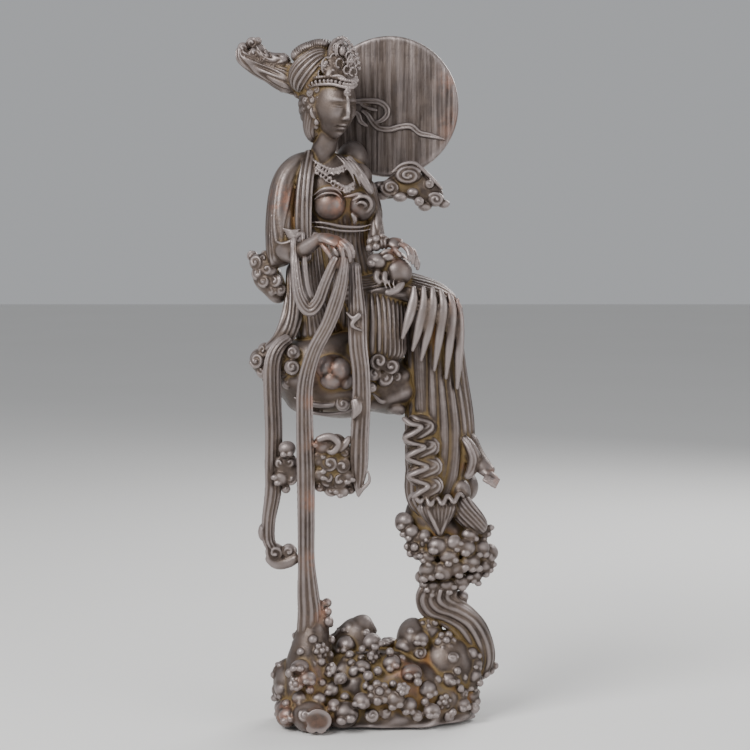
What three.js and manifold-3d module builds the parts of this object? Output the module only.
// Moon goddess: a seated figure with a rabbit in her lap, before a full moon, on a cloud seat that two
// scarf ends and a pillar of cloud carry over a cloud base. It is cast in one piece with that base.
// Millimetres, +Z up, the figure looks along -Y, origin in the middle of the footprint.
import * as THREE from "three";
import { mergeVertices } from "three/addons/utils/BufferGeometryUtils.js";
import Module from "manifold-3d";

const wasm = await Module();
wasm.setup();

// Driving sizes
const MOON_RADIUS = 24.5;
const MOON_THICK = 3.2;
const MOON_AT = [6.3, 12, 211.8];
const MOON_YAW = -0.17;
const WISP_THICK = 1.8;
const HEAD_YAW = 0.62;
const HEAD_WIDE = 17;
const NECK_WIDE = 8.2;
const SHOULDER_WIDE = 27;
const BREAST_RADIUS = 5.5;
const FINGER = 1.8;
const SCARF_WIDE = 3.6;
const SCARF_THICK = 2.6;
const RIBBON_WIDE = 6.2;
const RIBBON_THICK = 3.4;
const SKIRT_PLEATS = 8;
const SKIRT_PLEAT = 1;
const PANEL_WIDE = 20;
const COLUMN_WIDE = 22;
const STREAM_WIDE = 13;
const BASE_WIDE = 70;
const BASE_DEEP = 42;
const BASE_AT = [3.5, -6, 0];

const FRONT = [0, -1, 0];
const UP = [0, 0, 1];
const FACE = [Math.sin(HEAD_YAW), -Math.cos(HEAD_YAW), 0];
const BRONZE = { color: 0x4a3a31, roughness: 0.5, metalness: 0.55 };

// Makes a solid of a closed geometry.
function solidOf(geometry) {
  const bare = geometry.clone();
  bare.deleteAttribute("normal");
  bare.deleteAttribute("uv");
  const merged = mergeVertices(bare, 1e-4);
  return new wasm.Manifold(
    new wasm.Mesh({
      numProp: 3,
      vertProperties: merged.attributes.position.array,
      triVerts: new Uint32Array(merged.index.array),
    }),
  );
}

// A value for each point of a path: one number stands for all of them.
function each(value, count) {
  return Array.isArray(value) ? value : Array(count).fill(value);
}

// Closes a row of rings, each of the same number of points, with a fan at both ends. The squares are
// split by turns, so that a point that stands out makes a lobe of its own.
function skin(rings, around, ends) {
  const position = [...rings, ...ends[0].toArray(), ...ends[1].toArray()];
  const first = rings.length / 3;
  const last = first / around - 1;
  const index = [];
  for (let k = 0; k < around; k += 1) {
    const next = (k + 1) % around;
    for (let i = 0; i < last; i += 1) {
      const a = i * around + k;
      const b = i * around + next;
      const c = b + around;
      const d = a + around;
      index.push(...((i + k) % 2 ? [a, b, d, b, c, d] : [a, b, c, a, c, d]));
    }
    index.push(first, next, k);
    index.push(first + 1, last * around + k, last * around + next);
  }
  const geometry = new THREE.BufferGeometry();
  geometry.setAttribute("position", new THREE.Float32BufferAttribute(position, 3));
  geometry.setIndex(index);
  return geometry;
}

// A closed body along a smooth path. Wide and deep are its breadth and thickness at each point of the
// path, and facing is the way its broad side looks. Ridges run along it, beads make rings round it, and
// puff makes rows of cloud lobes that stand out between each other.
function sweep({
  path,
  wide,
  deep,
  facing = FRONT,
  sides = 6,
  steps = 1,
  ridges = 0,
  ridge = 0,
  bead = 0,
  puff = 0,
}) {
  const points = path.map((point) => new THREE.Vector3(...point));
  const spine = new THREE.CatmullRomCurve3(points, false, "catmullrom");
  const breadths = each(wide, path.length);
  const depths = each(deep, path.length);
  const sizes = new THREE.CatmullRomCurve3(
    path.map((_, i) => new THREE.Vector3(breadths[i] / 2, depths[i] / 2, 0)),
    false,
    "catmullrom",
  );
  const look = new THREE.Vector3(...facing);
  const around = ridges ? 2 * ridges : sides;
  const last = (path.length - 1) * steps;
  const position = [];
  for (let i = 0; i <= last; i += 1) {
    const t = i / last;
    const centre = spine.getPoint(t);
    const along = spine.getTangent(t);
    const size = sizes.getPoint(t);
    const normal = look.clone().addScaledVector(along, -look.dot(along)).normalize();
    const side = new THREE.Vector3().crossVectors(normal, along);
    for (let k = 0; k < around; k += 1) {
      const turn = (2 * Math.PI * k) / around;
      const lobe = (i + k) % 2 ? puff : -puff;
      const lift = lobe + bead * (i % 2 ? 1 : -1) + ridge * (k % 2 ? -0.5 : 0.5);
      const out = Math.hypot(Math.cos(turn) * size.y, Math.sin(turn) * size.x);
      const across = Math.cos(turn) * (size.x + (lift * size.y) / out);
      const up = Math.sin(turn) * (size.y + (lift * size.x) / out);
      const point = centre.clone().addScaledVector(side, across).addScaledVector(normal, up);
      position.push(point.x, point.y, point.z);
    }
  }
  return solidOf(skin(position, around, [spine.getPoint(0), spine.getPoint(1)]));
}

// A ball, or an egg where the radius is given for each axis. Small ones have few sides.
function ball(at, radius, sides = 6) {
  const [x, y, z] = each(radius, 3);
  const geometry = new THREE.SphereGeometry(1, sides, Math.round(sides * 0.66));
  geometry.rotateX(Math.PI / 2);
  geometry.scale(x, y, z);
  geometry.translate(...at);
  return solidOf(geometry);
}

// A spiral roll of cloud that looks along facing: it winds inwards and rises to its middle.
function curl(at, radius, { facing = FRONT, turns = 1.1, thick = 0.55, start = 0, hand = 1 } = {}) {
  const look = new THREE.Vector3(...facing).normalize();
  const right = new THREE.Vector3().crossVectors(look, new THREE.Vector3(...UP)).normalize();
  const up = new THREE.Vector3().crossVectors(right, look);
  const count = Math.round(turns * 6);
  const path = [];
  const size = [];
  for (let i = 0; i <= count; i += 1) {
    const t = i / count;
    const turn = start + hand * 2 * Math.PI * turns * t;
    const reach = radius * (1 - 0.85 * t);
    const point = new THREE.Vector3(...at)
      .addScaledVector(right, reach * Math.cos(turn))
      .addScaledVector(up, reach * Math.sin(turn))
      .addScaledVector(look, radius * 0.3 * t);
    path.push(point.toArray());
    size.push(radius * thick * (1 - 0.35 * t));
  }
  return sweep({ path, wide: size, deep: size, facing, sides: 4 });
}

// A flower of cloud balls round a middle one, looking along facing.
function rosette(at, radius, { facing = FRONT, petals = 4, start = 0 } = {}) {
  const look = new THREE.Vector3(...facing).normalize();
  const right = new THREE.Vector3().crossVectors(look, new THREE.Vector3(...UP)).normalize();
  const up = new THREE.Vector3().crossVectors(right, look);
  const around = 2 * petals;
  const rows = [
    [-0.35, 0.9, 0.1],
    [0.3, 0.9, 0.14],
    [0.45, 0.4, 0],
  ];
  const centre = new THREE.Vector3(...at);
  const position = [];
  for (const [height, reach, lobe] of rows) {
    for (let k = 0; k < around; k += 1) {
      const turn = start - (2 * Math.PI * k) / around;
      const out = radius * (reach + (k % 2 ? -lobe : lobe));
      const point = centre
        .clone()
        .addScaledVector(right, out * Math.cos(turn))
        .addScaledVector(up, out * Math.sin(turn))
        .addScaledVector(look, radius * height);
      position.push(...point.toArray());
    }
  }
  const foot = centre.clone().addScaledVector(look, -radius * 0.5);
  const tip = centre.clone().addScaledVector(look, radius * 0.85);
  return solidOf(skin(position, around, [foot, tip]));
}

// The full moon, with a wisp of cloud in relief on its face.
function moon() {
  const put = new THREE.Matrix4()
    .makeTranslation(...MOON_AT)
    .multiply(new THREE.Matrix4().makeRotationZ(MOON_YAW));
  const plate = new THREE.CylinderGeometry(MOON_RADIUS, MOON_RADIUS, MOON_THICK, 28).applyMatrix4(put);
  const onFace = ([x, z]) => new THREE.Vector3(x, -MOON_THICK / 2, z).applyMatrix4(put).toArray();
  const facing = new THREE.Vector3(0, -1, 0).transformDirection(put).toArray();
  const scroll = [[-13, 1.4], [-6, 2.1], [-0.3, 1.1], [3.5, -1.8], [1.7, -4.6], [-3.8, -3.2]];
  const stream = [[-8, -2.5], [-4.5, -5.3], [-1, -8], [4, -7.4], [8.1, -7], [13, -9.1], [21.4, -10.9]];
  const relief = { deep: WISP_THICK, facing, sides: 4 };
  return [
    solidOf(plate),
    sweep({ path: scroll.map(onFace), wide: [2.6, 2.8, 2.8, 2.6, 2.2, 1], ...relief }),
    sweep({ path: stream.map(onFace), wide: [1.4, 2.4, 2.6, 2.4, 2.6, 2.4, 0.6], ...relief }),
  ];
}

// The scrolled cloud that overlaps the moon's lower right.
function moonCloud() {
  return [
    sweep({
      path: [
        [0.5, 9.6, 183.6],
        [5.6, 8.8, 183],
        [11, 8, 184.6],
        [16, 7.4, 184.4],
        [20.6, 6.8, 181.6],
        [26, 6.4, 180.6],
      ],
      wide: [6, 7, 10, 11, 9.6, 4],
      deep: [4, 7, 7.6, 7.6, 7, 4],
      sides: 8,
      puff: 0.6,
    }),
    curl([13, 4.4, 187.2], 3.6, { start: 2.6, hand: -1 }),
    curl([22, 3.4, 180], 2.6, { start: 0.5 }),
  ];
}

// The head, turned to her left, with a crowned hairline, ear and nose.
function head() {
  return [
    sweep({
      path: [
        [-9.8, -10.2, 200.4],
        [-11.6, -8.6, 203.6],
        [-13.4, -6, 209],
        [-14, -4.6, 215],
        [-14.8, -3.4, 221],
        [-15, -3, 224.5],
      ],
      wide: [4.5, 11, 15.4, HEAD_WIDE, 16, 9],
      deep: [4, 12, 16.5, 18.5, 17, 9],
      facing: FACE,
      sides: 10,
    }),
    sweep({
      path: [[-9, -12.6, 211], [-7.8, -14.2, 207]],
      wide: [1.4, 2.4],
      deep: [1.6, 3],
      facing: FACE,
      sides: 4,
    }),
    ball([-18.8, -10.4, 208.4], [1.2, 1.6, 2.8]),
    sweep({
      path: [[-13, -4.5, 207], [-16, -2.4, 198.6], [-17.2, -1, 193.4], [-17.4, 0, 188]],
      wide: [NECK_WIDE, NECK_WIDE, NECK_WIDE * 1.2, NECK_WIDE * 1.9],
      deep: NECK_WIDE,
    }),
  ];
}

// Hair drawn back from the brow in long locks, with a ribbed roll over it and a billowing tail.
function hair() {
  return [
    ball([-17.2, -1, 212.4], [8, 9.6, 10.6], 8),
    sweep({
      path: [[-13, -5, 225.6], [-17.6, -4.6, 224.4], [-22, -3, 219.6], [-25, -1.6, 214.4]],
      wide: [6, 10.5, 12, 9],
      deep: [8, 12, 12, 8],
      ridges: 6,
      ridge: 1.2,
    }),
    sweep({
      path: [[-28.4, -1, 224.6], [-23.6, -2.2, 229.6], [-17.6, -2.9, 232], [-11.6, -3, 230.4]],
      wide: 6,
      deep: 8,
      steps: 2,
      bead: 0.35,
    }),
    sweep({
      path: [[-20, -4, 208], [-19.4, -2.6, 202], [-18.4, -0.6, 196.4]],
      wide: [8, 6.6, 3],
      deep: [10, 9, 5],
      ridges: 4,
      ridge: 0.9,
    }),
    sweep({
      path: [
        [-22, -0.6, 216.6],
        [-27.4, -0.4, 220],
        [-32.4, 0.6, 223.4],
        [-37.6, 1.4, 226.2],
        [-41.6, 1.6, 228.6],
        [-43.6, 1.4, 233],
      ],
      wide: [10, 14, 11.6, 7.6, 8.6, 4.4],
      deep: [8, 10, 9, 7.6, 8, 5],
      sides: 8,
      puff: 0.8,
    }),
  ];
}

// The tall crown with its jewels, and the band over her brow.
function crown() {
  const band = new THREE.TorusGeometry(8.9, 1.3, 3, 10);
  band.rotateX(0.12);
  band.translate(-13.9, -4.6, 217.4);
  return [
    solidOf(band),
    sweep({
      path: [[-9.6, -10.4, 217], [-9.8, -9.6, 223], [-10.8, -8, 229], [-11.6, -7, 234.4]],
      wide: [13, 11.5, 8.5, 3.4],
      deep: [4.5, 5.5, 5, 3],
      facing: FACE,
      sides: 8,
      puff: 0.4,
    }),
    ball([-11.6, -7.6, 231.4], [2.2, 2.4, 3]),
    ball([-7.6, -13.4, 216.4], [1.3, 1.3, 2]),
  ];
}

// Trunk and bust, from the shoulders to the hips.
function trunk() {
  return [
    sweep({
      path: [
        [-17.4, 0, 196.4],
        [-16.6, 0, 191],
        [-14.6, -0.6, 184],
        [-12.7, -0.6, 177],
        [-11.2, 0, 169.6],
        [-10.3, 0, 162],
        [-9.3, 1, 150],
        [-9.6, 1, 130],
      ],
      wide: [9, 22, SHOULDER_WIDE, SHOULDER_WIDE, 23.5, 22.5, 28, 34],
      deep: [8, 11, 14, 16, 14, 14.5, 19, 24],
      sides: 10,
    }),
    ball([-13.9, -6.6, 177.6], BREAST_RADIUS, 7),
    ball([-3.6, -4.8, 177], BREAST_RADIUS, 7),
    curl([-3.2, -10, 177.6], 2.3, { turns: 1, start: 2.4, hand: -1, thick: 0.7 }),
    ball([-4.8, 0, 187], [5.4, 5.6, 5.2]),
    ball([-6.4, 7, 192], [6, 6.4, 8]),
  ];
}

// The open robe: pleated front edges, wide sleeve on her right and the tail that falls behind the seat.
function robe() {
  return [
    sweep({
      path: [[-20.6, -2, 196], [-22, -8.6, 188], [-22.8, -10.4, 177.6], [-23, -9.6, 166]],
      wide: [5, 6, 6, 5.4],
      deep: [4, 4.4, 4.4, 5],
      ridges: 3,
      ridge: 0.8,
    }),
    sweep({
      path: [[-8, -3, 194], [-3.4, -6.8, 187.4], [0.4, -6.6, 181]],
      wide: [2.4, 3, 2.4],
      deep: 3,
      ridges: 3,
      ridge: 0.5,
    }),
    sweep({
      path: [
        [-20, -1, 193.4],
        [-25.6, -3, 190.4],
        [-29.4, -5, 184],
        [-30.8, -7, 172],
        [-30.4, -8.6, 161.4],
      ],
      wide: [5, 8.4, 9.8, 10.4, 8.6],
      deep: [7, 10, 11, 11.6, 9],
      ridges: 4,
      ridge: 0.9,
    }),
    sweep({
      path: [[-22, -2.6, 172], [-21, -3.4, 156], [-19, -3.6, 141], [-17, -3, 130]],
      wide: [9, 13, 15, 19],
      deep: [9, 11, 13, 15],
    }),
    sweep({
      path: [
        [-27, -3.4, 158],
        [-26.4, -7, 146],
        [-27.4, -9.6, 138],
        [-30.4, -9.6, 131.6],
        [-35.6, -7, 127.6],
      ],
      wide: [4, 6.6, 7.6, 7, 4.6],
      deep: [4, 4.6, 5, 5, 4],
      ridges: 4,
      ridge: 0.9,
    }),
    sweep({
      path: [[-1.6, 0, 186], [1.2, -1, 177], [1.8, -3, 170], [1.6, -6.4, 163.6]],
      wide: [6, 5, 5.6, 7],
      deep: [8, 8, 8, 7],
    }),
  ];
}

// Both hands: her right one hangs over the scarf, her left one lies on the rabbit.
function hands() {
  return [
    sweep({
      path: [[-31, -9, 163.4], [-25.4, -16, 161.2], [-18.6, -21.6, 164.6]],
      wide: [8.6, 7.4, 4.8],
      deep: [8, 6.4, 4.6],
      facing: UP,
    }),
    sweep({
      path: [
        [-19.4, -21, 165],
        [-15.4, -24.4, 165.2],
        [-11.6, -27, 162.8],
        [-9.6, -28, 160],
        [-9.4, -26.8, 157.2],
      ],
      wide: [4.4, 5.4, 6.4, 6.4, 5.6],
      deep: [4, 3.2, 3, 2.4, 2],
      facing: [0.4, -0.5, 0.8],
      ridges: 4,
      ridge: FINGER / 2.5,
    }),
    sweep({
      path: [
        [1.2, -6, 164.4],
        [5.6, -10.6, 164.2],
        [9.8, -12.8, 163.4],
        [13, -15.4, 160.8],
        [13.4, -17.4, 158],
      ],
      wide: [5.4, 4, 5, 6.6, 6],
      deep: [5, 3.4, 3, 2.4, 2],
      facing: [0.5, -0.5, 0.8],
      ridges: 4,
      ridge: FINGER / 2.5,
    }),
    ball([1, -8.4, 164.8], [3, 2.6, 2.6]),
  ];
}

// The scarf: its loop over the forearm, and the three long ends that fall past the seat.
function scarf() {
  return [
    sweep({
      path: [
        [-23.4, -18, 166],
        [-25, -21, 155],
        [-24.6, -21.4, 146],
        [-19.8, -22, 142.4],
        [-16.2, -23, 145.8],
        [-13.4, -24.4, 152.6],
        [-10.6, -25.4, 158.6],
      ],
      wide: [2.6, 3, SCARF_WIDE, SCARF_WIDE * 1.2, SCARF_WIDE, SCARF_WIDE, SCARF_WIDE],
      deep: SCARF_THICK,
      ridges: 4,
      ridge: 0.6,
    }),
    sweep({
      path: [
        [-8.6, -25.4, 160],
        [-10.2, -25.4, 149],
        [-13.4, -24.8, 138.6],
        [-18.6, -23.8, 128.6],
        [-22.2, -22.8, 114],
        [-22.1, -18.6, 71],
        [-21.9, -17, 57],
        [-20.4, -15.4, 43],
        [-20.8, -14, 30],
      ],
      wide: [3.6, 4.8, 5, 5, 5.6, RIBBON_WIDE, 5.8, 8.6, 9],
      deep: [3.4, 3.4, 3.4, 3.4, 3.4, RIBBON_THICK, 4, 6, 8],
      ridges: 4,
      ridge: 0.9,
    }),
    sweep({
      path: [
        [-25.8, -12, 133.6],
        [-30.4, -15.4, 129],
        [-33.2, -16, 123],
        [-32.6, -14.8, 109],
        [-32.1, -14.6, 82],
        [-34, -14.6, 70],
        [-34.2, -14.6, 62],
        [-30.4, -15, 57],
        [-22.6, -15.4, 58],
      ],
      wide: [4.4, 5.4, 6, 6.5, 6.5, 6, 4.8, 5, 4],
      deep: 3.4,
      facing: [0.35, -1, 0],
      ridges: 4,
      ridge: 0.9,
    }),
    sweep({
      path: [
        [-6, -17, 154],
        [-5, -19, 139],
        [-3.9, -22, 129],
        [-3, -22.4, 112.4],
        [-3.4, -21, 98.7],
        [-3.6, -20, 87.7],
        [-4.2, -19, 79],
      ],
      wide: [4.4, 4.8, 6.2, 6.4, 6.6, 6.2, 1],
      deep: [5, 5, 4.6, 3.4, 3.2, 3, 2],
      ridges: 4,
      ridge: 0.9,
    }),
    ball([-31, -15, 57], [4.2, 3, 2.8]),
    ball([-26, -15.6, 57.4], 2.6),
  ];
}

// The rabbit, held on its side in her lap.
function rabbit() {
  return [
    ball([8.6, -12.4, 156.4], [6.2, 5.4, 5.8]),
    ball([2.8, -14.6, 158], [3.9, 3.4, 3.2]),
    sweep({
      path: [[3, -15, 160.4], [6.2, -14.6, 161.6], [9.4, -14.4, 160.6]],
      wide: [1.6, 2.6, 1.4],
      deep: 1.6,
      sides: 6,
    }),
    sweep({
      path: [[11.4, -16.6, 153.4], [8.4, -18.4, 150.4], [5, -19.2, 149.6]],
      wide: 2.8,
      deep: 2.6,
      sides: 6,
    }),
    sweep({ path: [[3.6, -16.6, 156], [2.4, -18, 153.4], [4, -18.6, 151.6]], wide: 2, deep: 2, sides: 6 }),
  ];
}

// Thighs and the skirt: the pleated front over the seat, and the long fall from her knees to the hem.
function skirt() {
  return [
    sweep({
      path: [[-10, 1, 146], [0, -1.4, 147], [11, -4, 148.6], [21, -6.4, 146.4], [28.4, -7.4, 141]],
      wide: [24, 25, 24, 21, 15],
      deep: [16, 15, 13, 11, 10],
      facing: UP,
      ridges: 5,
      ridge: 1,
    }),
    sweep({
      path: [[2, -9, 149], [2.2, -12.6, 142], [2.4, -14, 134], [2.6, -14.4, 124]],
      wide: [PANEL_WIDE * 0.9, PANEL_WIDE, PANEL_WIDE, PANEL_WIDE * 0.96],
      deep: [8, 9, 9, 6],
      ridges: 7,
      ridge: 1.1,
    }),
    sweep({
      path: [
        [21.4, -6, 147.4],
        [21.6, -6, 135],
        [22.6, -5.4, 119],
        [23.8, -4.4, 101],
        [23.4, -4, 87],
        [21.4, -4.6, 77.6],
        [22.8, -6.4, 69.4],
        [23, -7.4, 63.6],
      ],
      wide: [18.4, 20, 22.2, 24.6, 23.4, 19.6, 9.4, 1],
      deep: [21, 22, 20, 18, 16, 14, 9, 2],
      ridges: SKIRT_PLEATS,
      ridge: SKIRT_PLEAT,
    }),
    ball([26.4, -7, 141], [5.4, 8, 5]),
    sweep({
      path: [[10.8, -9, 106], [12.6, -10.6, 92], [14.6, -10.4, 79], [19.4, -10.6, 72.6]],
      wide: [4, 5, 5, 3],
      deep: [5, 5, 5, 3],
      ridges: 3,
      ridge: 1,
    }),
  ];
}

// Her foot, and the knob of cloud under it.
function foot() {
  return [
    sweep({
      path: [[32, -5, 99.6], [34.6, -7.6, 93], [38.6, -11, 88.4], [44, -14, 85.4]],
      wide: [8, 8, 6.4, 3],
      deep: [8, 7.6, 6, 3],
      facing: [0.5, -0.5, 0.7],
    }),
    ball([32.4, -2.6, 80.6], [5, 5.4, 5.6]),
  ];
}

// The bowl of cloud she sits on, its balls and curls, and the puff behind her elbow.
function seat() {
  return [
    ball([-12.4, -1, 119.4], [23, 17, 15.8], 9),
    ball([5.6, -1, 116], [13, 14.6, 11], 8),
    ball([-14.8, -15.4, 122.6], 4.6),
    ball([-10.4, -15.8, 118], 4.6),
    rosette([-27.6, -11.4, 123], 4.8, { facing: [-0.4, -1, 0.2] }),
    curl([6, -15.6, 121], 3.6, { start: 1, hand: -1 }),
    sweep({
      path: [[-30, 0, 121], [-34, -1.6, 122.4], [-38.4, -1.6, 124.8], [-40.4, -1, 128]],
      wide: [13, 12, 9, 4],
      deep: [14, 13, 9, 4],
      sides: 8,
      puff: 0.8,
    }),
    sweep({
      path: [[-30.6, -4.4, 144], [-33, -4, 149], [-35.6, -3.6, 153.6], [-37, -3.6, 159.4]],
      wide: [5, 8.4, 10.4, 5],
      deep: [5, 8, 9, 5],
      sides: 8,
      puff: 0.8,
    }),
  ];
}

// The small cloud bank between the scarf ends.
function bank() {
  return [
    sweep({
      path: [
        [-21.6, -16.6, 91],
        [-17.6, -17, 90],
        [-13.4, -17, 89.4],
        [-9, -17, 89.6],
        [-5.4, -17.6, 90.4],
      ],
      wide: [13, 18, 19.6, 17.6, 11],
      deep: [5, 6.4, 6.8, 6.4, 5],
      sides: 10,
      puff: 0.8,
    }),
    curl([-13.2, -19.6, 94.6], 2.8, { start: 0.4 }),
    ball([-28, -15.4, 91], [4.8, 3, 3.6]),
    ball([-28, -15.4, 83.8], [5.4, 2.8, 2.8]),
  ];
}

// The pillar of cloud under the hem, and the stream that winds from it down into the base.
function pillar() {
  return [
    sweep({
      path: [[19.6, 0, 80], [21.6, 0, 70], [25.4, -0.6, 61], [26.4, -0.6, 53], [23.6, 0, 44]],
      wide: [16, COLUMN_WIDE, COLUMN_WIDE * 1.1, COLUMN_WIDE * 0.9, STREAM_WIDE],
      deep: [14, COLUMN_WIDE * 0.9, COLUMN_WIDE, COLUMN_WIDE * 0.8, STREAM_WIDE],
      sides: 10,
      steps: 2,
      puff: 1.2,
    }),
    ball([11, -3, 69], 3.2),
    rosette([20.6, -10.2, 54], 4.2, { facing: [-0.3, -1, 0] }),
    rosette([36, -5, 57.6], 4.6, { facing: [0.9, -1, 0] }),
    ball([36.4, -2, 66], 3.4),
    sweep({
      path: [
        [24.4, 0, 52],
        [22.6, -0.6, 45],
        [22.6, -2.6, 39],
        [28, -4.4, 35],
        [34.2, -4.6, 30],
        [37.8, -3, 23],
        [36.8, -1, 13],
      ],
      wide: [16, STREAM_WIDE, STREAM_WIDE * 0.96, 8.6, 7.6, 6.8, 8],
      deep: [15, 13, 12, 11, 11, 10, 10],
      ridges: 6,
      ridge: 1.2,
    }),
  ];
}

// The base: a low bank of lobes with three hills, cloud feet along its front and flowers on top.
function base() {
  const [x, y] = BASE_AT;
  const rise = [-3, 5, 12, 19, 26];
  const shrink = [0.99, 1, 0.95, 0.8, 0.46];
  const pieces = [
    sweep({
      path: rise.map((z) => [x, y, z]),
      wide: shrink.map((part) => BASE_WIDE * part),
      deep: shrink.map((part) => BASE_DEEP * part),
      sides: 18,
      puff: 1.4,
    }),
    sweep({
      path: [[-20, -13, 8], [-20.6, -13, 18], [-20.4, -13.4, 27], [-18.8, -12.4, 36], [-16.6, -11.4, 43]],
      wide: [24, 20, 15, 10, 4],
      deep: [26, 22, 16, 11, 5],
      sides: 10,
      puff: 0.9,
    }),
    sweep({
      path: [[-6, -4, 18], [-4.4, -4, 26], [-1.6, -3.6, 31], [1, -3.4, 33.4]],
      wide: [22, 19, 13, 5],
      deep: [20, 16, 12, 5],
      sides: 10,
      puff: 0.7,
    }),
    ball([14.6, -5.4, 27.4], [6.4, 9, 8.4]),
    ball([26.4, -4.6, 18.6], [12, 13, 13], 7),
    ball([20.6, -5, 30.6], [4.6, 6, 4.8]),
    ball([-28.6, -10, 14], [5.4, 9, 8.4]),
    ball([-20.4, -26, 5.4], [7, 6, 6]),
    ball([-28.4, -20.6, 4.8], [4.6, 6, 5.2]),
    ball([-9.6, -24, 6], [6, 5, 5.4]),
    ball([-24, -21.4, 16.4], [6.4, 6.4, 6.6]),
  ];
  const flowers = [
    [-12.4, -22, 18.6, 4.2],
    [-0.6, -15, 26.6, 4.4],
    [1.4, -26.6, 10.4, 4.6],
    [22.4, -17.6, 23, 4.6],
    [14, -25.6, 14, 4.4],
  ];
  for (const [fx, fy, fz, radius] of flowers) {
    const facing = [(fx - x) / BASE_WIDE, (fy - y) / BASE_DEEP, 0.25];
    pieces.push(rosette([fx, fy, fz], radius, { facing, start: fx }));
  }
  return pieces;
}

// Joins everything, cuts the underside flat and moves the middle of the footprint to the origin.
function statue() {
  const parts = [
    moon(),
    moonCloud(),
    head(),
    hair(),
    crown(),
    trunk(),
    robe(),
    hands(),
    scarf(),
    rabbit(),
    skirt(),
    foot(),
    seat(),
    bank(),
    pillar(),
    base(),
  ].flat();
  const whole = parts.reduce((sum, piece) => sum.add(piece));
  const ground = new THREE.BoxGeometry(200, 200, 50).translate(0, 0, -25);
  return whole.subtract(solidOf(ground));
}

const made = statue().getMesh();
const geometry = new THREE.BufferGeometry();
geometry.setAttribute("position", new THREE.BufferAttribute(made.vertProperties, 3));
geometry.setIndex(new THREE.BufferAttribute(made.triVerts, 1));
geometry.computeBoundingBox();
const middle = geometry.boundingBox.getCenter(new THREE.Vector3());
geometry.translate(-middle.x, -middle.y, -geometry.boundingBox.min.z);

const mesh = new THREE.Mesh(geometry, new THREE.MeshStandardMaterial(BRONZE));
mesh.name = "statue";
const group = new THREE.Group();
group.add(mesh);

export default group;
